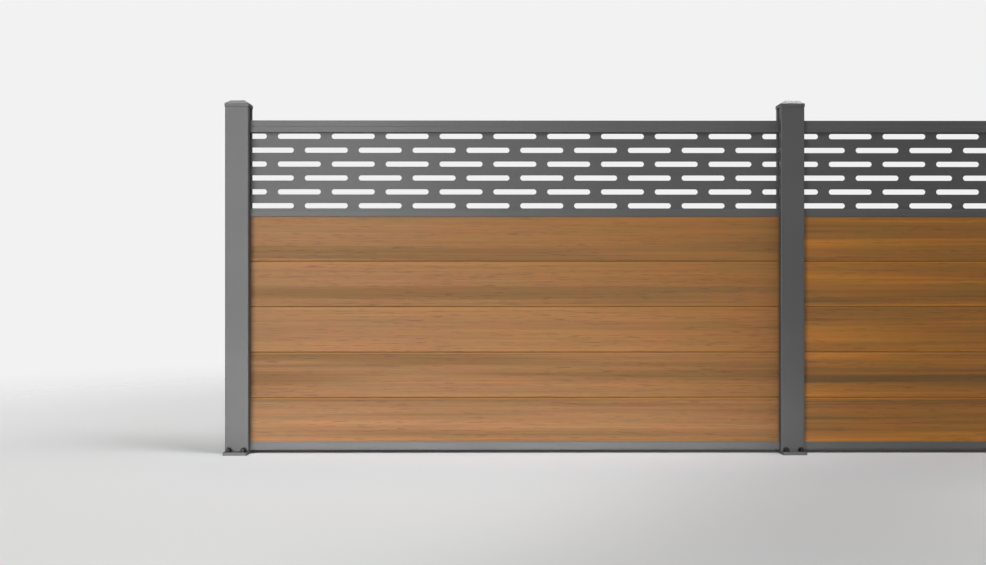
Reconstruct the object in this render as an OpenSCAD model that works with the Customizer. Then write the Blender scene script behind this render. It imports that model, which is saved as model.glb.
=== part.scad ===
// Composite fence, two bays between three posts.
// X runs along the fence, Y points to its back, Z points up.
// The origin is the centre of the underside of the middle post's base plate.

/* [Layout] */
// Distance between the centres of neighbouring posts
post_spacing = 1880; // [1200:10:2400]
// Clear height of the slotted screen between its two rails
screen_open = 260; // [160:5:400]
// How far the posts stand above the top rail
post_rise = 44; // [20:1:120]

/* [Posts] */
// Width and depth of a post
post_w = 80; // [74:1:100]
// Radius of a post's four outer corners
post_r = 3; // [2:0.5:5]
// Wall of the post's extrusion
post_wall = 2.2; // [1.8:0.1:2.5]
// Depth of the two channels that take the panels
channel_depth = 20; // [14:1:24]
// Gap left and right of a rail in its channel
channel_clear = 0.3; // [0.1:0.1:0.8]
// Gap between a panel's end and the channel's floor
end_gap = 2; // [1:0.5:4]
// Outer radius of a screw port in a post's corner
port_r = 5; // [4:0.5:6]
// Radius of the hole down a screw port
port_hole_r = 2.4; // [1.8:0.1:2.8]

/* [Post caps] */
// How far a cap stands out past the post's face
cap_overhang = 1.5; // [0.5:0.5:4]
// Height of the cap's upright rim
cap_rim_h = 11; // [6:1:20]
// Rise of the cap's four slopes above the rim
cap_rise = 11.5; // [4:0.5:24]
// Inset of the flat top from the rim
cap_inset = 18; // [8:1:24]
// Length of the plugs that hold the cap in the post
plug_len = 15; // [8:1:40]
// Gap between a plug and the post's inner walls
plug_clear = 0.3; // [0.1:0.1:0.6]
// Wall of the plugs
plug_wall = 2.5; // [1.5:0.5:4]

/* [Base plates] */
// Thickness of a base plate
plate_t = 10; // [6:1:16]
// How far a base plate reaches out in front of and behind its post
plate_reach = 40; // [32:1:60]
// Radius of the base plate's corners
plate_r = 3; // [1:0.5:6]
// Radius of an anchor hole
anchor_r = 5.5; // [4:0.5:7]
// Distance between the anchor holes along the fence
anchor_span = 50; // [36:1:56]
// Distance from an anchor hole's centre to the plate's front or back edge
anchor_edge = 20; // [14:1:22]
// Radius of a screw hole under a screw port
screw_r = 2.8; // [2:0.1:3.2]
// Largest radius of the screw hole's countersink
sink_r = 5.4; // [4.5:0.1:6]

/* [Boards] */
// Thickness of a composite board
board_t = 20; // [18:0.5:24]
// Height that one board covers
board_cover = 154.4; // [120:0.1:180]
// Bevel along a board's edges
board_bevel = 2; // [0.5:0.25:2.5]
// Thickness of a board's tongue
tongue_t = 6; // [5:0.5:8]
// Height of a board's tongue
tongue_h = 8; // [5:0.5:9]
// Gap on each side of a tongue in its groove
tongue_clear = 0.4; // [0.2:0.1:0.8]
// Wall round a board's chambers
board_wall = 4.5; // [3.5:0.25:6]
// Web between two chambers of a board
board_web = 5; // [3:0.5:8]
// Number of chambers in a board
chambers = 4; // [2:1:6]

/* [Rails] */
// Depth of the three rails
rail_depth = 26; // [25:0.5:30]
// Wall of a rail's extrusion
rail_wall = 2; // [1.6:0.1:2.4]
// Height of the feet that carry the bottom rail
rail_foot_h = 5; // [3:0.5:20]
// Height of the bottom rail's body
bottom_rail_h = 22.5; // [20:0.5:50]
// How deep the lowest board sits in the bottom rail
seat_depth = 3; // [2:0.5:8]
// Height of the middle rail
mid_rail_h = 26.5; // [26:0.5:50]
// How far the middle rail's lips reach down over the top board
lip_depth = 2; // [1:0.5:3]
// Height of the top rail
top_rail_h = 40; // [28:0.5:60]
// Depth of the step along the top and middle rails
step_in = 1; // [0.5:0.25:1.5]
// Distance from the top rail's step to its upper edge
top_step = 20; // [6:0.5:22]
// Distance from the middle rail's step to its upper edge
mid_step = 6.5; // [3:0.5:8]

/* [Screen] */
// Thickness of the slotted sheet
sheet_t = 3; // [2:0.25:5]
// How deep the sheet sits in each of its two rails
sheet_seat = 8; // [5:0.5:9]
// Gap on each side of the sheet in a rail's slot
sheet_clear = 0.2; // [0.1:0.1:0.5]
// Length of a slot with its two round ends
slot_len = 146.6; // [60:0.1:200]
// Height of a slot
slot_h = 17.8; // [8:0.1:30]
// Bridge between two slots of a row
slot_bridge = 37; // [10:0.1:80]
// Bar between two rows of slots
slot_bar = 29.5; // [8:0.1:60]
// How far the grid of slots sits below the middle of the screen
slot_drop = 1.1; // [0:0.1:2]

/* [Channel covers] */
// Depth of the legs that hold a cover in the channel
cover_leg = 14; // [6:1:14]
// Thickness of a cover's face and legs
cover_t = 2; // [1.5:0.25:3]
// Gap on each side of a cover in the channel
cover_clear = 0.2; // [0.1:0.1:0.5]

/* [Hidden] */

$fn = 48;
over = 1;
boards_per_bay = 5;

// Posts stand at these places along the fence, bays are centred between them
left_x = -post_spacing;
right_x = post_spacing;
left_bay_x = -post_spacing / 2;
right_bay_x = post_spacing / 2;

// A post's inside
channel_w = rail_depth + 2 * channel_clear;
inner_half = post_w / 2 - post_wall;
port_at = inner_half - port_r;
channel_floor = post_w / 2 - channel_depth;
channel_outer = channel_w / 2 + post_wall;

// Every rail, board and sheet is as long as the bay and reaches into both channels
panel_len = post_spacing - post_w + 2 * (channel_depth - end_gap);

// Heights, stacked from the ground
bottom_rail_z = plate_t + rail_foot_h;
boards_z = bottom_rail_z + bottom_rail_h - seat_depth;
mid_rail_z = boards_z + boards_per_bay * board_cover - lip_depth;
screen_z = mid_rail_z + mid_rail_h;
top_rail_z = screen_z + screen_open;
post_top_z = top_rail_z + top_rail_h + post_rise;

// Base plate
plate_len = post_w + 2 * plate_reach;
anchor_y = plate_len / 2 - anchor_edge;

// A board's chambers share the height between its groove and its upper shoulder
groove_h = tongue_h + 1;
chambers_z = groove_h + board_wall;
chambers_h = board_cover - board_wall - chambers_z;
chamber_h = (chambers_h - (chambers - 1) * board_web) / chambers;

// Pocket of the bottom and middle rails round a board, and slot round the sheet
pocket_w = board_t + 2 * tongue_clear;
tongue_slot_w = tongue_t + 2 * tongue_clear;
sheet_slot_w = sheet_t + 2 * sheet_clear;

// Grid of slots
slot_pitch = slot_len + slot_bridge;
row_pitch = slot_h + slot_bar;
slot_rows = floor((screen_open + slot_bar) / row_pitch);
slot_cols = ceil(panel_len / slot_pitch / 2) + 1;

post_colour = [0.33, 0.34, 0.35];
rail_colour = [0.36, 0.37, 0.38];
sheet_colour = [0.31, 0.32, 0.33];
board_colour = [0.56, 0.38, 0.22];
plate_colour = [0.38, 0.39, 0.40];

// Rectangle with round corners, centred on the origin
module rounded_rect(w, d, r) {
    square([w - 2 * r, d], center = true);
    square([w, d - 2 * r], center = true);
    for (x = [-1, 1], y = [-1, 1])
        translate([x * (w / 2 - r), y * (d / 2 - r)])
            circle(r = r);
}

// Copies in the four corners of a rectangle
module at_corners(x, y) {
    for (side = [-1, 1], end = [-1, 1])
        translate([side * x, end * y])
            children();
}

// A profile in Y and Z, drawn out along X and centred on the bay
module along_bay(bay_x, z) {
    translate([bay_x - panel_len / 2, 0, z])
        rotate([90, 0, 90])
            linear_extrude(height = panel_len)
                children();
}

// ---- Posts -------------------------------------------------------------

// Square shell with a channel left and right, two webs between them, a screw port per corner
module post_profile() {
    difference() {
        union() {
            difference() {
                rounded_rect(post_w, post_w, post_r);
                square(2 * inner_half, center = true);
            }
            for (side = [-1, 1])
                translate([side * (post_w - channel_depth - post_wall) / 2, 0])
                    square([channel_depth + post_wall, 2 * channel_outer], center = true);
            for (side = [-1, 1])
                translate([0, side * (channel_outer - post_wall / 2)])
                    square([2 * channel_floor, post_wall], center = true);
            at_corners(port_at, port_at)
                circle(r = port_r);
            at_corners(port_at + port_r / 2, port_at + port_r / 2)
                square(port_r, center = true);
        }
        for (side = [-1, 1])
            translate([side * (post_w / 2 - channel_depth / 2 + over / 2), 0])
                square([channel_depth + over, channel_w], center = true);
        at_corners(port_at, port_at)
            circle(r = port_hole_r);
    }
}

module post(x) {
    color(post_colour)
        translate([x, 0, plate_t])
            linear_extrude(height = post_top_z - plate_t)
                post_profile();
}

// ---- Post caps ---------------------------------------------------------

// Outline of the cap across one of its sides
module cap_outline() {
    half = post_w / 2 + cap_overhang;
    polygon([
        [-half, 0],
        [half, 0],
        [half, cap_rim_h],
        [half - cap_inset, cap_rim_h + cap_rise],
        [cap_inset - half, cap_rim_h + cap_rise],
        [-half, cap_rim_h]
    ]);
}

// The same outline across both directions leaves four slopes and a flat top
module cap_body() {
    cap_w = post_w + 2 * cap_overhang;
    intersection() {
        rotate([90, 0, 0])
            linear_extrude(height = cap_w + over, center = true)
                cap_outline();
        rotate([90, 0, 90])
            linear_extrude(height = cap_w + over, center = true)
                cap_outline();
        linear_extrude(height = cap_rim_h + cap_rise)
            rounded_rect(cap_w, cap_w, post_r);
    }
}

// Hollow plugs fit the post's front and back chambers, between its screw ports
module cap_plug() {
    plug_w = 2 * (port_at - port_r - plug_clear);
    plug_d = inner_half - channel_outer - 2 * plug_clear;
    translate([0, (inner_half + channel_outer) / 2, -plug_len])
        difference() {
            translate([-plug_w / 2, -plug_d / 2, 0])
                cube([plug_w, plug_d, plug_len + over]);
            translate([plug_wall - plug_w / 2, plug_wall - plug_d / 2, -over])
                cube([plug_w - 2 * plug_wall, plug_d - 2 * plug_wall, plug_len + over]);
        }
}

module post_cap(x) {
    color(post_colour)
        translate([x, 0, post_top_z]) {
            cap_body();
            cap_plug();
            mirror([0, 1, 0])
                cap_plug();
        }
}

// ---- Base plates -------------------------------------------------------

module base_plate(x) {
    color(plate_colour)
        translate([x, 0, 0])
            difference() {
                linear_extrude(height = plate_t)
                    rounded_rect(post_w, plate_len, plate_r);
                at_corners(anchor_span / 2, anchor_y)
                    translate([0, 0, -over])
                        cylinder(r = anchor_r, h = plate_t + 2 * over);
                at_corners(port_at, port_at)
                    translate([0, 0, -over])
                        cylinder(r = screw_r, h = plate_t + 2 * over);
                at_corners(port_at, port_at)
                    cylinder(r1 = sink_r, r2 = screw_r, h = sink_r - screw_r);
            }
}

// ---- Channel covers ----------------------------------------------------

// Strip that closes the unused channel of an end post, with a leg on each side
module channel_cover(x, side) {
    cover_w = channel_w - 2 * cover_clear;
    face_x = side * post_w / 2;
    color(post_colour)
        translate([x, 0, plate_t])
            linear_extrude(height = post_top_z - plate_t)
                difference() {
                    translate([face_x - side * cover_leg / 2, 0])
                        square([cover_leg, cover_w], center = true);
                    translate([face_x - side * (cover_leg + cover_t + over) / 2, 0])
                        square([cover_leg - cover_t + over, cover_w - 2 * cover_t], center = true);
                }
}

// ---- Rails -------------------------------------------------------------

module bottom_rail_profile() {
    floor_z = bottom_rail_h - seat_depth;
    difference() {
        translate([-rail_depth / 2, 0])
            square([rail_depth, bottom_rail_h]);
        translate([-pocket_w / 2, floor_z])
            square([pocket_w, seat_depth + over]);
        translate([rail_wall - rail_depth / 2, rail_wall])
            square([rail_depth - 2 * rail_wall, floor_z - 2 * rail_wall]);
    }
    translate([-tongue_t / 2, floor_z])
        square([tongue_t, tongue_h]);
    for (side = [-1, 1])
        translate([side * rail_depth / 4 - rail_wall / 2, -rail_foot_h])
            square([rail_wall, rail_foot_h]);
}

// Rail body with a bevelled step, narrower above it
module stepped_outline(height, step_below_top) {
    low = rail_depth / 2;
    high = rail_depth / 2 - step_in;
    step_z = height - step_below_top;
    polygon([
        [-low, 0],
        [low, 0],
        [low, step_z - step_in],
        [high, step_z],
        [high, height],
        [-high, height],
        [-high, step_z],
        [-low, step_z - step_in]
    ]);
}

module mid_rail_profile() {
    pocket_top = lip_depth + tongue_h + tongue_clear;
    slot_floor = mid_rail_h - sheet_seat;
    chamber_w = rail_depth / 2 - step_in - 2 * rail_wall - tongue_slot_w / 2;
    difference() {
        stepped_outline(mid_rail_h, mid_step);
        translate([-pocket_w / 2, -over])
            square([pocket_w, lip_depth + over]);
        translate([-tongue_slot_w / 2, -over])
            square([tongue_slot_w, pocket_top + over]);
        translate([-sheet_slot_w / 2, slot_floor])
            square([sheet_slot_w, sheet_seat + over]);
        for (side = [-1, 1])
            translate([side * (tongue_slot_w + 2 * rail_wall + chamber_w) / 2 - chamber_w / 2, lip_depth + rail_wall])
                square([chamber_w, mid_rail_h - lip_depth - 2 * rail_wall]);
    }
}

module top_rail_profile() {
    slot_block = sheet_slot_w + 2 * rail_wall;
    chamber_half = rail_depth / 2 - step_in - rail_wall;
    difference() {
        stepped_outline(top_rail_h, top_step);
        translate([-sheet_slot_w / 2, -over])
            square([sheet_slot_w, sheet_seat + over]);
        difference() {
            translate([-chamber_half, rail_wall])
                square([2 * chamber_half, top_rail_h - 2 * rail_wall]);
            translate([-slot_block / 2, 0])
                square([slot_block, sheet_seat + rail_wall]);
        }
    }
}

module bottom_rail(bay_x) {
    color(rail_colour)
        along_bay(bay_x, bottom_rail_z)
            bottom_rail_profile();
}

module mid_rail(bay_x) {
    color(rail_colour)
        along_bay(bay_x, mid_rail_z)
            mid_rail_profile();
}

module top_rail(bay_x) {
    color(rail_colour)
        along_bay(bay_x, top_rail_z)
            top_rail_profile();
}

// ---- Boards ------------------------------------------------------------

// Tongue above, groove below, bevelled edges front and back
module board_outline() {
    face = board_t / 2;
    groove = tongue_slot_w / 2;
    tongue = tongue_t / 2;
    polygon([
        [-groove, 0],
        [-groove, groove_h],
        [groove, groove_h],
        [groove, 0],
        [face - board_bevel, 0],
        [face, board_bevel],
        [face, board_cover - board_bevel],
        [face - board_bevel, board_cover],
        [tongue, board_cover],
        [tongue, board_cover + tongue_h],
        [-tongue, board_cover + tongue_h],
        [-tongue, board_cover],
        [board_bevel - face, board_cover],
        [-face, board_cover - board_bevel],
        [-face, board_bevel],
        [board_bevel - face, 0]
    ]);
}

module board_profile() {
    chamber_w = board_t - 2 * board_wall;
    difference() {
        board_outline();
        for (i = [0 : chambers - 1])
            translate([-chamber_w / 2, chambers_z + i * (chamber_h + board_web)])
                square([chamber_w, chamber_h]);
    }
}

// Boards are counted from the bottom, starting at 1
module board(bay_x, number) {
    color(board_colour)
        along_bay(bay_x, boards_z + (number - 1) * board_cover)
            board_profile();
}

// ---- Screen ------------------------------------------------------------

module slot() {
    square([slot_len - slot_h, slot_h], center = true);
    for (side = [-1, 1])
        translate([side * (slot_len - slot_h) / 2, 0])
            circle(d = slot_h);
}

// Every second row is shifted by half a pitch, and the sheet's ends cut through a slot
module slot_grid() {
    for (row = [0 : slot_rows - 1])
        for (col = [-slot_cols : slot_cols])
            translate([
                (col + (row % 2) / 2) * slot_pitch,
                ((slot_rows - 1) / 2 - row) * row_pitch - slot_drop
            ])
                slot();
}

module screen(bay_x) {
    color(sheet_colour)
        translate([bay_x, 0, screen_z + screen_open / 2])
            rotate([90, 0, 0])
                linear_extrude(height = sheet_t, center = true)
                    difference() {
                        square([panel_len, screen_open + 2 * sheet_seat], center = true);
                        slot_grid();
                    }
}

post(left_x);  // left_post
post(0);  // middle_post
post(right_x);  // right_post
post_cap(left_x);  // left_post_cap
post_cap(0);  // middle_post_cap
post_cap(right_x);  // right_post_cap
base_plate(left_x);  // left_base_plate
base_plate(0);  // middle_base_plate
base_plate(right_x);  // right_base_plate
channel_cover(left_x, -1);  // left_channel_cover
channel_cover(right_x, 1);  // right_channel_cover
bottom_rail(left_bay_x);  // left_bottom_rail
board(left_bay_x, 1);  // left_board_1
board(left_bay_x, 2);  // left_board_2
board(left_bay_x, 3);  // left_board_3
board(left_bay_x, 4);  // left_board_4
board(left_bay_x, 5);  // left_board_5
mid_rail(left_bay_x);  // left_mid_rail
screen(left_bay_x);  // left_screen
top_rail(left_bay_x);  // left_top_rail
bottom_rail(right_bay_x);  // right_bottom_rail
board(right_bay_x, 1);  // right_board_1
board(right_bay_x, 2);  // right_board_2
board(right_bay_x, 3);  // right_board_3
board(right_bay_x, 4);  // right_board_4
board(right_bay_x, 5);  // right_board_5
mid_rail(right_bay_x);  // right_mid_rail
screen(right_bay_x);  // right_screen
top_rail(right_bay_x);  // right_top_rail
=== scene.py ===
"""Looks of a composite fence: two bays of boards and slotted screen between three coated posts.

Everything is in metres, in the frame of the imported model: X along the fence, Y to its back, Z up.
Colours are linear.
"""

import math

import bmesh
import bpy
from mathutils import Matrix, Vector


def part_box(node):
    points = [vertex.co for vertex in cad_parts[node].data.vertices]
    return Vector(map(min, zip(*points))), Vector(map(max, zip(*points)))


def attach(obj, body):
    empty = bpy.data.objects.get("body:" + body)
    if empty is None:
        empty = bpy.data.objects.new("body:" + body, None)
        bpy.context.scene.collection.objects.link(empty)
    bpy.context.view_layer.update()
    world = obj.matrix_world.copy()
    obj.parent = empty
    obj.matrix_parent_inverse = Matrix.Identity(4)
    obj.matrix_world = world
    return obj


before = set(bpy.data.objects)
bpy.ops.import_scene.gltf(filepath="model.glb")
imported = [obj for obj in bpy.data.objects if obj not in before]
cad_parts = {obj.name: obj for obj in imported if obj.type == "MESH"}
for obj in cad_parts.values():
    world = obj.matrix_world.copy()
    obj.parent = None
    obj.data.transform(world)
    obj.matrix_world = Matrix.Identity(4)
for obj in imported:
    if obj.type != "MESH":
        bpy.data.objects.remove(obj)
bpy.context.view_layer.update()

MM = 0.001
BODY = "root"

POSTS = ("left", "middle", "right")
# Each bay's posts, from left to right
BAYS = {"left": ("left", "middle"), "right": ("middle", "right")}
BOARDS_PER_BAY = 5

# The sheets are a little darker than the posts; the bottom rails and base plates are lighter, a painted light
# for the bright light at the fence's foot
COAT = (0.053, 0.053, 0.054)
SHEET_COAT = (0.047, 0.047, 0.048)
LIT_LOW_COAT = (0.070, 0.070, 0.071)
BURNISHED_AND_HIGHLIGHT = (0.30, 0.30, 0.30)

# The bays' board colours carry painted light and shade: paler on the left for its stronger light, deeper on
# the right for its weaker light, with painted shade in the seams
BOARD_DARK_AS_LIT = {"left": (0.162, 0.069, 0.006), "right": (0.103, 0.045, 0.001)}
BOARD_MID_AS_LIT = {"left": (0.224, 0.087, 0.007), "right": (0.240, 0.092, 0.004)}
BOARD_LIGHT_AS_LIT = {"left": (0.262, 0.104, 0.012), "right": (0.375, 0.138, 0.006)}
SEAM_SHADE = {"left": 0.0, "right": 0.6}

FASTENER = (0.035, 0.035, 0.037)
FLOOR = (0.80, 0.80, 0.80)
BACKDROP = (0.887, 0.887, 0.887)
AMBIENT = (0.04, 0.04, 0.04)


# ---- Node graphs ----------------------------------------------------------

# Sockets of a Mix node that mixes colours
MIX_FACTOR, MIX_A, MIX_B, MIX_RESULT = 0, 6, 7, 2


def scaled(values, factor):
    """A colour or a shift times a factor."""
    return tuple(value * factor for value in values)


class Graph:
    """Adds nodes to the tree of a material or a world and gives back their outputs."""

    def __init__(self, owner):
        owner.use_nodes = True
        self.owner = owner
        self.tree = owner.node_tree

    def feed(self, socket, value):
        """Links an output to an input, or sets the input to a constant."""
        if isinstance(value, bpy.types.NodeSocket):
            self.tree.links.new(value, socket)
        elif socket.type == "RGBA":
            socket.default_value = (*value, 1)
        else:
            socket.default_value = value

    def surface(self, name, value):
        """Feeds one input of the material's Principled shader."""
        self.feed(self.tree.nodes["Principled BSDF"].inputs[name], value)

    def node(self, kind, settings=None, **inputs):
        """A new node. Its inputs are given by name, with an underscore for a space."""
        made = self.tree.nodes.new(kind)
        for key, value in (settings or {}).items():
            setattr(made, key, value)
        for key, value in inputs.items():
            self.feed(made.inputs[key.replace("_", " ")], value)
        return made

    def math(self, operation, a, b=0.0):
        """An operation on one or two numbers."""
        made = self.node("ShaderNodeMath", {"operation": operation})
        self.feed(made.inputs[0], a)
        self.feed(made.inputs[1], b)
        return made.outputs[0]

    def vector(self, operation, a, b=(0.0, 0.0, 0.0)):
        """An operation on one or two vectors, which gives a vector or a number."""
        made = self.node("ShaderNodeVectorMath", {"operation": operation})
        self.feed(made.inputs[0], a)
        self.feed(made.inputs[1], b)
        gives_number = operation in ("DOT_PRODUCT", "DISTANCE", "LENGTH")
        return made.outputs["Value" if gives_number else "Vector"]

    def span(self, value, low, high, to_low=0.0, to_high=1.0):
        """The value from low to high, smoothly mapped to a new span."""
        made = self.node("ShaderNodeMapRange", {"interpolation_type": "SMOOTHSTEP"})
        for socket, number in zip(made.inputs, (value, low, high, to_low, to_high)):
            self.feed(socket, number)
        return made.outputs[0]

    def band(self, value, rise, fall):
        """A number that goes up to 1 while the value crosses rise, and back to 0 while it crosses fall."""
        return self.math("MULTIPLY", self.span(value, *rise), self.span(value, *fall, 1.0, 0.0))

    def mix(self, factor, a, b, blend="MIX"):
        """Colour a where the factor is 0, and its blend with colour b where it is 1."""
        made = self.node("ShaderNodeMix", {"data_type": "RGBA", "blend_type": blend})
        self.feed(made.inputs[MIX_FACTOR], factor)
        self.feed(made.inputs[MIX_A], a)
        self.feed(made.inputs[MIX_B], b)
        return made.outputs[MIX_RESULT]

    def mix_shaders(self, factor, a, b):
        """Shader a where the factor is 0, and shader b where it is 1."""
        made = self.node("ShaderNodeMixShader")
        for socket, value in zip(made.inputs, (factor, a, b)):
            self.feed(socket, value)
        return made.outputs[0]

    def place(self, shift=(0.0, 0.0, 0.0)):
        """The shaded point in the part's frame, shifted to reach another stretch of noise."""
        coords = self.node("ShaderNodeTexCoord").outputs["Object"]
        return self.vector("ADD", coords, shift)

    def axes(self):
        """The X, Y and Z of the shaded point."""
        return self.node("ShaderNodeSeparateXYZ", Vector=self.place()).outputs

    def noise(self, coords, cells, detail=2.0, roughness=0.5):
        """Noise with so many cells a metre along X, Y and Z."""
        made = self.node(
            "ShaderNodeTexNoise",
            Vector=self.vector("MULTIPLY", coords, cells),
            Scale=1.0,
            Detail=detail,
            Roughness=roughness,
        )
        return made.outputs["Fac"]

    def soft_edges(self, radius, samples=6):
        """A normal rounded over the edges, and how far it turns there, from 0 to 1."""
        rounded = self.node("ShaderNodeBevel", {"samples": samples}, Radius=radius).outputs[0]
        flat = self.node("ShaderNodeNewGeometry").outputs["True Normal"]
        turned = self.math("SUBTRACT", 1.0, self.vector("DOT_PRODUCT", rounded, flat))
        return rounded, self.span(turned, 0.02, 0.25)

    def bump(self, height, strength, distance, normal):
        """The normal with a relief on it, distance metres deep at full strength."""
        made = self.node("ShaderNodeBump", Height=height, Strength=strength, Distance=distance, Normal=normal)
        return made.outputs[0]


# ---- Coats ----------------------------------------------------------------

# Metres from one coat's stretch of noise to the next
COAT_SHIFT = (1.7, 0.9, 2.3)


def powder_coat(name, base, roughness, seed):
    """Satin powder coat: fine orange peel, faint clouds of tone, and burnished edges lightened as a painted
    highlight too.
    """
    g = Graph(bpy.data.materials.new(name))
    at = g.place(scaled(COAT_SHIFT, seed))
    clouds = g.noise(at, (2.2, 2.2, 3.0), detail=3.0)
    grit = g.noise(at, (1500.0, 1500.0, 1500.0), detail=1.0)
    peel = g.noise(at, (420.0, 420.0, 420.0), detail=2.0)
    scuffs = g.noise(at, (160.0, 160.0, 60.0), detail=3.0, roughness=0.7)
    rounded, edge = g.soft_edges(0.9 * MM)

    colour = g.mix(g.span(clouds, 0.3, 0.7), scaled(base, 0.93), scaled(base, 1.07))
    colour = g.mix(g.math("MULTIPLY", grit, 0.16), colour, scaled(base, 1.6))
    # Burnished wear on the edges, also lightened as a painted highlight along them
    wear_and_highlight = g.math("MULTIPLY", edge, g.span(scuffs, 0.42, 0.66))
    colour = g.mix(g.math("MULTIPLY", wear_and_highlight, 0.35), colour, BURNISHED_AND_HIGHLIGHT)
    g.surface("Base Color", colour)

    # The gloss is rougher where the coat is seen at a slant
    facing = g.node("ShaderNodeLayerWeight", Blend=0.5).outputs["Facing"]
    slanted = g.math("MULTIPLY", g.span(facing, 0.45, 0.80), 0.52)
    satin = g.span(clouds, 0.25, 0.75, roughness - 0.04, roughness + 0.05)
    g.surface("Roughness", g.math("ADD", slanted, satin))
    peeled = g.bump(peel, 0.18, 0.15 * MM, rounded)
    g.surface("Normal", g.bump(grit, 0.10, 0.05 * MM, peeled))
    return g.owner


def black_zinc(name):
    """Dark plated steel of the fasteners, a little cloudy."""
    g = Graph(bpy.data.materials.new(name))
    clouds = g.noise(g.place(), (260.0, 260.0, 260.0), detail=3.0)
    rounded, _ = g.soft_edges(0.3 * MM, samples=4)
    g.surface("Base Color", g.mix(g.span(clouds, 0.3, 0.7), scaled(FASTENER, 0.8), FASTENER))
    g.surface("Metallic", 1.0)
    g.surface("Roughness", g.span(clouds, 0.3, 0.7, 0.30, 0.45))
    g.surface("Normal", g.bump(clouds, 0.1, 0.05 * MM, rounded))
    return g.owner


# ---- Boards ---------------------------------------------------------------

# Metres from one board's stretch of noise to the next
BOARD_SHIFT = (5.3, 3.1, 2.7)
# How far a streak may drift in height: slowly along the board, and within a few centimetres
SWAY = 8 * MM
STRAY = 4 * MM
# The broad bands' share of the tone; the streaks in them have the rest
BAND_SHARE = 0.66
# Factors on the colour
GROOVE, RIDGE = (0.88, 0.87, 0.86), (1.06, 1.06, 1.05)
GREENER, REDDER = (0.965, 1.022, 0.97), (1.04, 0.976, 1.00)
DASH = (0.60, 0.54, 0.36)
FIBRE = (0.80, 0.78, 0.76)
SHADE_BESIDE_POST = (0.35, 0.30, 0.25)
# Depths below a board's top, as (from, to): where the painted shade of the seam goes out, and where the
# painted highlight of the rim comes in and goes out
SEAM_OUT = (1.4 * MM, 2.6 * MM)
HIGHLIGHT_IN, HIGHLIGHT_OUT = (2.2 * MM, 3.6 * MM), (5.2 * MM, 6.8 * MM)
PAINTED_RIM_HIGHLIGHT = 0.7
# How far from a post the shade on a board goes out, and how strong it is
POST_SHADE_OUT = (1 * MM, 8 * MM)
POST_SHADE = 0.6


def board_place(g, seed):
    """Coordinates that drift in height along a board, so that its streaks aren't dead straight."""
    at = g.place(scaled(BOARD_SHIFT, seed))
    sway = g.math("MULTIPLY", g.noise(at, (1.1, 1.0, 1.5), detail=1.0), SWAY)
    stray = g.math("MULTIPLY", g.noise(at, (16.0, 8.0, 4.0), detail=2.0, roughness=0.6), STRAY)
    lift = g.node("ShaderNodeCombineXYZ", Z=g.math("ADD", sway, stray)).outputs[0]
    return g.vector("ADD", at, lift)


def board_tone(g, at):
    """Broad bands with narrow streaks in them, from grey-brown at the low end to orange at the high one."""
    bands = g.noise(at, (0.45, 3.0, 16.0), detail=1.0)
    streaks = g.noise(at, (0.6, 8.0, 75.0), detail=2.0)
    return g.math("ADD", g.math("MULTIPLY", bands, BAND_SHARE), g.math("MULTIPLY", streaks, 1 - BAND_SHARE))


def board_grain(g, at, colour, lines, fibre):
    """Lays fine lines, patches of tint, groups of short dark dashes and fibres over a colour."""
    patches = g.noise(at, (5.0, 9.0, 26.0), detail=2.0)
    dashes = g.noise(at, (15.0, 120.0, 340.0), detail=1.0)
    groups = g.noise(at, (3.0, 12.0, 40.0), detail=1.0)
    cuts = g.math("MULTIPLY", g.span(dashes, 0.57, 0.67), g.span(groups, 0.35, 0.60, 0.20, 0.85))
    colour = g.mix(1.0, colour, g.mix(g.span(lines, 0.34, 0.66), GROOVE, RIDGE), "MULTIPLY")
    colour = g.mix(1.0, colour, g.mix(g.span(patches, 0.35, 0.65), GREENER, REDDER), "MULTIPLY")
    colour = g.mix(cuts, colour, DASH, "MULTIPLY")
    return g.mix(g.span(fibre, 0.35, 0.65, 0.0, 0.20), colour, FIBRE, "MULTIPLY")


def board_borders(g, colour, bay, top):
    """Paints light and shade on a board: a highlight rim below its top, shade in the seam over it, and shade
    beside the posts.
    """
    spot = g.axes()
    below = g.math("SUBTRACT", top, spot["Z"])
    # A painted highlight along the rim below the board's top
    rim = g.band(below, HIGHLIGHT_IN, HIGHLIGHT_OUT)
    colour = g.mix(g.math("MULTIPLY", rim, PAINTED_RIM_HIGHLIGHT), colour, BOARD_LIGHT_AS_LIT[bay])
    # Painted shade in the seam over the rim, in the right bay only
    seam = g.span(below, *SEAM_OUT, SEAM_SHADE[bay], 0.0)
    colour = g.mix(seam, colour, BOARD_DARK_AS_LIT[bay])

    # Painted shade on the board where it enters the posts
    first, last = BAYS[bay]
    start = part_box(f"{first}_post")[1].x
    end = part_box(f"{last}_post")[0].x
    close, clear = POST_SHADE_OUT
    unshaded = g.band(spot["X"], (start + close, start + clear), (end - clear, end - close))
    shade = g.math("MULTIPLY", g.math("SUBTRACT", 1.0, unshaded), POST_SHADE)
    return g.mix(shade, colour, SHADE_BESIDE_POST, "MULTIPLY")


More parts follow.
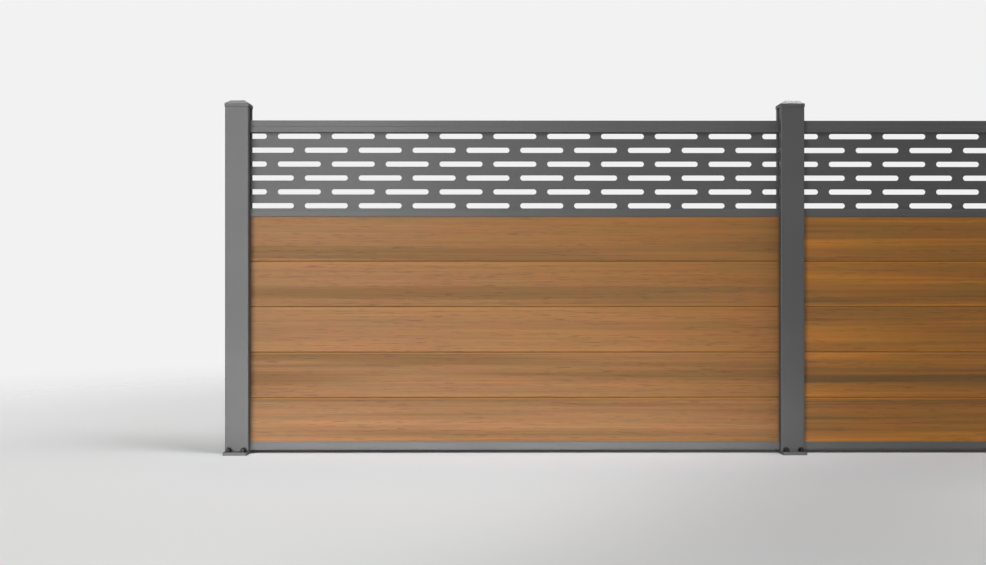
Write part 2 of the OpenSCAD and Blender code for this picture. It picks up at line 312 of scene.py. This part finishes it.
def composite_board(name, seed, bay, top):
    """Co-extruded board in its bay's colours, which carry that bay's painted light and shade.

    Top is the height at which the piece above starts, where the board has its seam.
    """
    g = Graph(bpy.data.materials.new(name))
    at = board_place(g, seed)
    tone = board_tone(g, at)
    lines = g.noise(at, (2.0, 40.0, 330.0), detail=1.0)
    fibre = g.noise(at, (40.0, 200.0, 900.0), detail=2.0)
    rounded, edge = g.soft_edges(0.6 * MM, samples=4)

    colour = g.mix(g.span(tone, 0.36, 0.49), BOARD_DARK_AS_LIT[bay], BOARD_MID_AS_LIT[bay])
    colour = g.mix(g.span(tone, 0.50, 0.65), colour, BOARD_LIGHT_AS_LIT[bay])
    colour = board_grain(g, at, colour, lines, fibre)
    # A painted highlight along the board's edges
    colour = g.mix(g.math("MULTIPLY", edge, 0.45), colour, scaled(BOARD_MID_AS_LIT[bay], 1.15))
    g.surface("Base Color", board_borders(g, colour, bay, top))

    g.surface("Roughness", g.span(tone, 0.34, 0.50, 0.60, 0.46))
    relief = g.math("ADD", g.math("MULTIPLY", fibre, 0.4), g.math("MULTIPLY", lines, 0.6))
    g.surface("Normal", g.bump(relief, 0.35, 0.35 * MM, rounded))
    return g.owner


# ---- Materials on the CAD nodes -------------------------------------------

def paint(name, material):
    """Gives a CAD node its one material."""
    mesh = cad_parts[name].data
    mesh.materials.clear()
    mesh.materials.append(material)


post_coat = powder_coat("post_coat", COAT, roughness=0.36, seed=1)
rail_coat = powder_coat("rail_coat", COAT, roughness=0.36, seed=2)
# The bottom rails and base plates take the lighter coat: painted light for the bright light at the fence's
# foot
lit_low_rail_coat = powder_coat("lit_low_rail_coat", LIT_LOW_COAT, roughness=0.36, seed=5)
sheet_coat = powder_coat("sheet_coat", SHEET_COAT, roughness=0.38, seed=3)
lit_plate_coat = powder_coat("lit_plate_coat", LIT_LOW_COAT, roughness=0.38, seed=4)
fastener = black_zinc("black_zinc")

for post in POSTS:
    paint(f"{post}_post", post_coat)
    paint(f"{post}_post_cap", post_coat)
    paint(f"{post}_base_plate", lit_plate_coat)

for bay_number, bay in enumerate(BAYS):
    paint(f"{bay}_channel_cover", post_coat)
    paint(f"{bay}_bottom_rail", lit_low_rail_coat)
    paint(f"{bay}_mid_rail", rail_coat)
    paint(f"{bay}_top_rail", rail_coat)
    paint(f"{bay}_screen", sheet_coat)
    for number in range(1, BOARDS_PER_BAY + 1):
        above = f"{bay}_board_{number + 1}" if number < BOARDS_PER_BAY else f"{bay}_mid_rail"
        seed = number + BOARDS_PER_BAY * bay_number
        wood = composite_board(f"{bay}_board_{number}_wood", seed, bay, top=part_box(above)[0].z)
        paint(f"{bay}_board_{number}", wood)


# ---- Fasteners ------------------------------------------------------------

WASHER_R = 12.0 * MM
WASHER_BORE_R = 5.4 * MM
WASHER_T = 2.5 * MM
WASHER_CHAMFER = 0.4 * MM
NUT_R = 9.6 * MM
NUT_H = 8.4 * MM
NUT_CHAMFER = 1.0 * MM
STUD_R = 4.9 * MM
STUD_TOP = 4.0 * MM
THREAD_PITCH = 1.5 * MM
THREAD_DEPTH = 0.8 * MM

# The base plates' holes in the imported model: how far from a plate's middle, and how wide
ANCHOR_X = 25 * MM
ANCHOR_Y = 60 * MM
PORT_AT = 32.8 * MM
SINK_R = 5.4 * MM
HOLE_R = 2.8 * MM
# The countersunk screws
SCREW_PLAY = 0.3 * MM
HEAD_INSET = 0.2 * MM
SHANK_LENGTH = 4.0 * MM
DRIVE_R = 2.0 * MM
DRIVE_DEPTH = 1.6 * MM

SIGNS = [(x, y) for x in (-1, 1) for y in (-1, 1)]


def add_lathe(bm, centre, profile, sides):
    """Turns (radius, height) points round the Z axis through centre. Ends on the axis close it."""
    rings = []
    for radius, height in profile:
        count = sides if radius > 0 else 1
        rings.append([
            bm.verts.new(centre + Vector((
                radius * math.cos(2 * math.pi * k / sides),
                radius * math.sin(2 * math.pi * k / sides),
                height,
            )))
            for k in range(count)
        ])
    for low, high in zip(rings, rings[1:]):
        for k in range(sides):
            corners = [
                low[k % len(low)],
                low[(k + 1) % len(low)],
                high[(k + 1) % len(high)],
                high[k % len(high)],
            ]
            bm.faces.new(list(dict.fromkeys(corners)))


def add_washer(bm, centre):
    """Flat round washer with a chamfered rim."""
    add_lathe(bm, centre, [
        (WASHER_BORE_R, 0),
        (WASHER_R, 0),
        (WASHER_R, WASHER_T - WASHER_CHAMFER),
        (WASHER_R - WASHER_CHAMFER, WASHER_T),
        (WASHER_BORE_R, WASHER_T),
        (WASHER_BORE_R, 0),
    ], sides=40)


def add_nut(bm, centre):
    """Hexagon nut on the washer, with chamfered corners and a countersunk mouth."""
    add_lathe(bm, centre + Vector((0, 0, WASHER_T)), [
        (STUD_R, 0),
        (NUT_R - NUT_CHAMFER, 0),
        (NUT_R, NUT_CHAMFER / 2),
        (NUT_R, NUT_H - NUT_CHAMFER / 2),
        (NUT_R - NUT_CHAMFER, NUT_H),
        (STUD_R + NUT_CHAMFER, NUT_H),
        (STUD_R, NUT_H - NUT_CHAMFER),
        (STUD_R, 0),
    ], sides=6)


def add_stud(bm, centre):
    """Threaded end that stands out of the nut."""
    low = WASHER_T
    high = WASHER_T + NUT_H + STUD_TOP
    root_r = STUD_R - THREAD_DEPTH
    profile = [(0, low)]
    for turn in range(int((high - low) / THREAD_PITCH)):
        z = low + turn * THREAD_PITCH
        profile.append((root_r, z))
        profile.append((STUD_R, z + THREAD_PITCH / 2))
    profile.append((root_r, high))
    profile.append((0, high))
    add_lathe(bm, centre, profile, sides=24)


def add_countersunk_screw(bm, centre):
    """Countersunk head seen from below, with a recess for the driver, and the start of the shank."""
    shank_r = HOLE_R - SCREW_PLAY
    neck = SINK_R - HOLE_R
    add_lathe(bm, centre, [
        (0, DRIVE_DEPTH),
        (DRIVE_R, DRIVE_DEPTH),
        (DRIVE_R, HEAD_INSET),
        (SINK_R - SCREW_PLAY, HEAD_INSET),
        (shank_r, neck),
        (shank_r, neck + SHANK_LENGTH),
        (0, neck + SHANK_LENGTH),
    ], sides=24)


def mesh_piece(name, bm, material):
    """A new piece of the object from a finished bmesh, riding on the fence."""
    mesh = bpy.data.meshes.new(name)
    bmesh.ops.recalc_face_normals(bm, faces=bm.faces)
    bm.to_mesh(mesh)
    bm.free()
    mesh.materials.append(material)
    piece = bpy.data.objects.new(name, mesh)
    bpy.context.scene.collection.objects.link(piece)
    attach(piece, BODY)


for post in POSTS:
    low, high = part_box(f"{post}_base_plate")
    middle = Vector(((low.x + high.x) / 2, (low.y + high.y) / 2, 0))
    anchors = bmesh.new()
    screws = bmesh.new()
    for x, y in SIGNS:
        foot = middle + Vector((x * ANCHOR_X, y * ANCHOR_Y, high.z))
        add_washer(anchors, foot)
        add_nut(anchors, foot)
        add_stud(anchors, foot)
        add_countersunk_screw(screws, middle + Vector((x * PORT_AT, y * PORT_AT, low.z)))
    mesh_piece(f"{post}_anchor_nuts", anchors, fastener)
    mesh_piece(f"{post}_plate_screws", screws, fastener)


# ---- Floor and backdrop ---------------------------------------------------

FLOOR_REACH = 16.0
# The floor lies just under the base plates
FLOOR_DROP = 0.3 * MM
# Factors on the colour, painted light and shade: a cool tint against the warm light near the fence, shade to
# the left and light to the right in front, and shadow under the fence
COOL_AGAINST_WARM_LIGHT = (0.955, 0.99, 1.02)
PAINTED_FRONT_LEFT_SHADE = (0.93, 0.93, 0.93)
PAINTED_FRONT_RIGHT_LIGHT = (1.14, 1.14, 1.14)
PAINTED_SHADOW_UNDER_FENCE = (0.70, 0.69, 0.69)
# Where those factors come in or go out, as (from, to)
COOL_IN_X = (-2.3, -1.6)
COOL_IN_Y, COOL_OUT_Y = (-1.2, -0.3), (0.0, 0.3)
LEFT_TO_RIGHT_X = (-1.5, -0.4)
FRONT_OUT_Y = (-2.0, -0.5)
UNDER_IN_Y, UNDER_OUT_Y = (-0.02, 0.0), (0.10, 0.18)
UNDER_OUT_PAST_FACE = (0.03, 0.06)

# Where the floor fades: with the distance from a point, and sooner behind the fence
FADE_CENTRE = (-1.0, 0.0, 0.0)
FAR = (3.8, 8.6)
BEHIND = (1.2, 6.0)
BEHIND_IN_Y = (-0.5, 0.3)
LEFT_STRETCH = 1.4
# Where it fades for the camera: to both sides of SEEN_MIDDLE_X, further out with the depth, and in front
SEEN_MIDDLE_X = -1.3
SEEN_OUT = (2.8, 4.4)
SEEN_WIDENING = 0.4
SEEN_IN_Y = (-4.2, -2.4)


def floor_colour(g, spot):
    """Painted light and shade: a cool tint against the warm light near the fence, shadow under it, and in
    front shade to the left and light to the right.
    """
    clouds = g.noise(g.place(), (0.6, 0.6, 1.0), detail=2.0)
    colour = g.mix(clouds, scaled(FLOOR, 0.99), FLOOR)
    # A painted cool tint against the warm light near the fence
    near = g.math("MULTIPLY", g.band(spot["Y"], COOL_IN_Y, COOL_OUT_Y), g.span(spot["X"], *COOL_IN_X))
    colour = g.mix(near, colour, COOL_AGAINST_WARM_LIGHT, "MULTIPLY")
    # Painted shade on the floor in front to the left, and painted light to the right
    painted_light_across = g.mix(g.span(spot["X"], *LEFT_TO_RIGHT_X), PAINTED_FRONT_LEFT_SHADE, PAINTED_FRONT_RIGHT_LIGHT)
    colour = g.mix(g.span(spot["Y"], *FRONT_OUT_Y, 1.0, 0.0), colour, painted_light_across, "MULTIPLY")

    # Painted shadow on the floor under the fence, ending past the end posts' outer faces
    # The two end posts stand as far to the left of X = 0 as to the right
    past_face = g.math("SUBTRACT", g.math("ABSOLUTE", spot["X"]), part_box("right_post")[0].x)
    along = g.span(past_face, *UNDER_OUT_PAST_FACE, 1.0, 0.0)
    under = g.math("MULTIPLY", g.band(spot["Y"], UNDER_IN_Y, UNDER_OUT_Y), along)
    return g.mix(under, colour, PAINTED_SHADOW_UNDER_FENCE, "MULTIPLY")


def floor_fade(g, spot):
    """How far the floor gives way to the backdrop: 0 by the fence, 1 far from it.

    Behind the fence it fades sooner, most of all to the left. Past the lamps' reach, at the sides and in
    front, it fades for the camera only, so that it still lights the fence.
    """
    far = g.span(g.vector("DISTANCE", g.place(), FADE_CENTRE), *FAR)

    leftwards = g.math("MAXIMUM", g.math("SUBTRACT", FADE_CENTRE[0], spot["X"]), 0.0)
    stretched = g.math("MULTIPLY", leftwards, LEFT_STRETCH)
    oval = g.node("ShaderNodeCombineXYZ", X=stretched, Y=spot["Y"]).outputs[0]
    behind = g.math("MULTIPLY", g.span(g.vector("LENGTH", oval), *BEHIND), g.span(spot["Y"], *BEHIND_IN_Y))

    sideways = g.math("ABSOLUTE", g.math("SUBTRACT", spot["X"], SEEN_MIDDLE_X))
    widening = g.math("MULTIPLY", g.math("MAXIMUM", spot["Y"], 0.0), SEEN_WIDENING)
    side = g.span(g.math("SUBTRACT", sideways, widening), *SEEN_OUT)
    front = g.span(spot["Y"], *SEEN_IN_Y, 1.0, 0.0)
    by_camera = g.node("ShaderNodeLightPath").outputs["Is Camera Ray"]
    unseen = g.math("MULTIPLY", g.math("MAXIMUM", side, front), by_camera)
    return g.math("MAXIMUM", g.math("MAXIMUM", far, behind), unseen)


def floor():
    """Pale floor that fades into the backdrop away from the fence."""
    g = Graph(bpy.data.materials.new("floor"))
    spot = g.axes()
    g.surface("Base Color", floor_colour(g, spot))
    g.surface("Roughness", 0.8)
    g.surface("Specular IOR Level", 0.0)
    solid = g.tree.nodes["Principled BSDF"].outputs[0]
    clear = g.node("ShaderNodeBsdfTransparent").outputs[0]
    faded = g.mix_shaders(floor_fade(g, spot), solid, clear)
    g.feed(g.tree.nodes["Material Output"].inputs["Surface"], faded)

    mesh = bpy.data.meshes.new("floor")
    corners = [(x * FLOOR_REACH, y * FLOOR_REACH, 0) for x, y in ((-1, -1), (1, -1), (1, 1), (-1, 1))]
    mesh.from_pydata(corners, [], [(0, 1, 2, 3)])
    mesh.materials.append(g.owner)
    made = bpy.data.objects.new("floor", mesh)
    made.location.z = -FLOOR_DROP
    bpy.context.scene.collection.objects.link(made)


def backdrop():
    """A pale surround for the camera and for reflections, and a darker one for the light on surfaces."""
    g = Graph(bpy.data.worlds.new("studio"))
    shown = g.tree.nodes["Background"]
    g.feed(shown.inputs["Color"], BACKDROP)
    soft = g.node("ShaderNodeBackground", Color=AMBIENT)
    path = g.node("ShaderNodeLightPath").outputs
    seen = g.math("MAXIMUM", path["Is Camera Ray"], path["Is Glossy Ray"])
    seen = g.math("MAXIMUM", seen, path["Is Transmission Ray"])
    blend = g.mix_shaders(seen, soft.outputs[0], shown.outputs[0])
    g.feed(g.tree.nodes["World Output"].inputs["Surface"], blend)
    bpy.context.scene.world = g.owner


# ---- Lamps and camera -----------------------------------------------------

# Name, place, aim, width, height, watts, and spread in degrees
SOFTBOXES = (
    # The main light, from the left in front
    ("key", (-3.04, -6.30, 1.45), (-1.7, 0.0, 0.55), 3.0, 3.0, 132, 170),
    # Two narrow beams side by side, down from the left in front; the second lands further back
    ("beam", (-5.82, -4.78, 4.60), (-3.06, 0.0, 0.30), 5.4, 9.0, 67, 14),
    ("beam_back", (-4.42, -2.35, 4.60), (-1.66, 2.43, 0.30), 5.4, 5.4, 23.5, 14),
    # Low strips that brighten the foot of the fence
    ("low", (-1.25, -2.4, 0.05), (-1.25, 0.0, 0.22), 2.6, 0.08, 1.28, 40),
    ("foot", (-1.25, -2.3, 0.02), (-1.25, 0.0, 0.04), 2.6, 0.025, 0.34, 12),
    ("foot_right", (0.85, -2.3, 0.02), (0.85, 0.0, 0.04), 1.5, 0.025, 0.035, 12),
    # A pool of light on the floor in front of the right bay
    ("floor_right", (1.5, -1.6, 3.4), (1.5, -1.3, 0.0), 1.4, 1.6, 8.0, 50),
    # Small lamps over the two caps that the photograph shows
    ("left_cap_rim", (-1.953, 0.214, 1.52), (-1.88, 0.0, 1.19), 0.20, 0.16, 0.18, 100),
    ("middle_cap_rim", (0.088, 0.212, 1.52), (0.0, 0.0, 1.19), 0.20, 0.16, 0.42, 100),
    # Light on the back
    ("rear", (0.5, 4.5, 1.05), (0.5, 0.0, 1.05), 2.9, 0.2, 11, 24),
)

SUN_HEADING = (-0.57, 0.29, -0.77)
SUN_STRENGTH = 1.27
SUN_ANGLE = 32

CAMERA_AT = (-1.043, -4.670, 0.580)
CAMERA_PITCH = 90
CAMERA_TURN = -0.35
LENS_MM = 50.0
SENSOR_MM = 36.0


def hang(name, lamp, at, heading):
    """Puts a lamp in the scene so that it shines along its heading."""
    made = bpy.data.objects.new(name, lamp)
    made.location = at
    made.rotation_euler = Vector(heading).to_track_quat("-Z", "Y").to_euler()
    bpy.context.scene.collection.objects.link(made)
    return made


def softbox(name, at, aim, width, height, watts, spread):
    """A rectangular lamp that the camera doesn't see."""
    lamp = bpy.data.lights.new(name, "AREA")
    lamp.shape = "RECTANGLE"
    lamp.size = width
    lamp.size_y = height
    lamp.energy = watts
    lamp.spread = math.radians(spread)
    made = hang(name, lamp, at, Vector(aim) - Vector(at))
    made.visible_camera = False


def sun(name, heading, strength, angle):
    """A wide, soft light from far away."""
    lamp = bpy.data.lights.new(name, "SUN")
    lamp.energy = strength
    lamp.angle = math.radians(angle)
    hang(name, lamp, (0, 0, 0), heading)


def camera():
    """The camera of the photograph: level, low and nearly square to the fence."""
    data = bpy.data.cameras.new("camera")
    data.sensor_width = SENSOR_MM
    data.lens = LENS_MM
    made = bpy.data.objects.new("camera", data)
    made.location = CAMERA_AT
    made.rotation_euler = (math.radians(CAMERA_PITCH), 0, math.radians(CAMERA_TURN))
    bpy.context.scene.collection.objects.link(made)
    bpy.context.scene.camera = made


floor()
backdrop()
for values in SOFTBOXES:
    softbox(*values)
sun("side", SUN_HEADING, SUN_STRENGTH, SUN_ANGLE)
camera()
bpy.context.scene.view_settings.view_transform = "Standard"
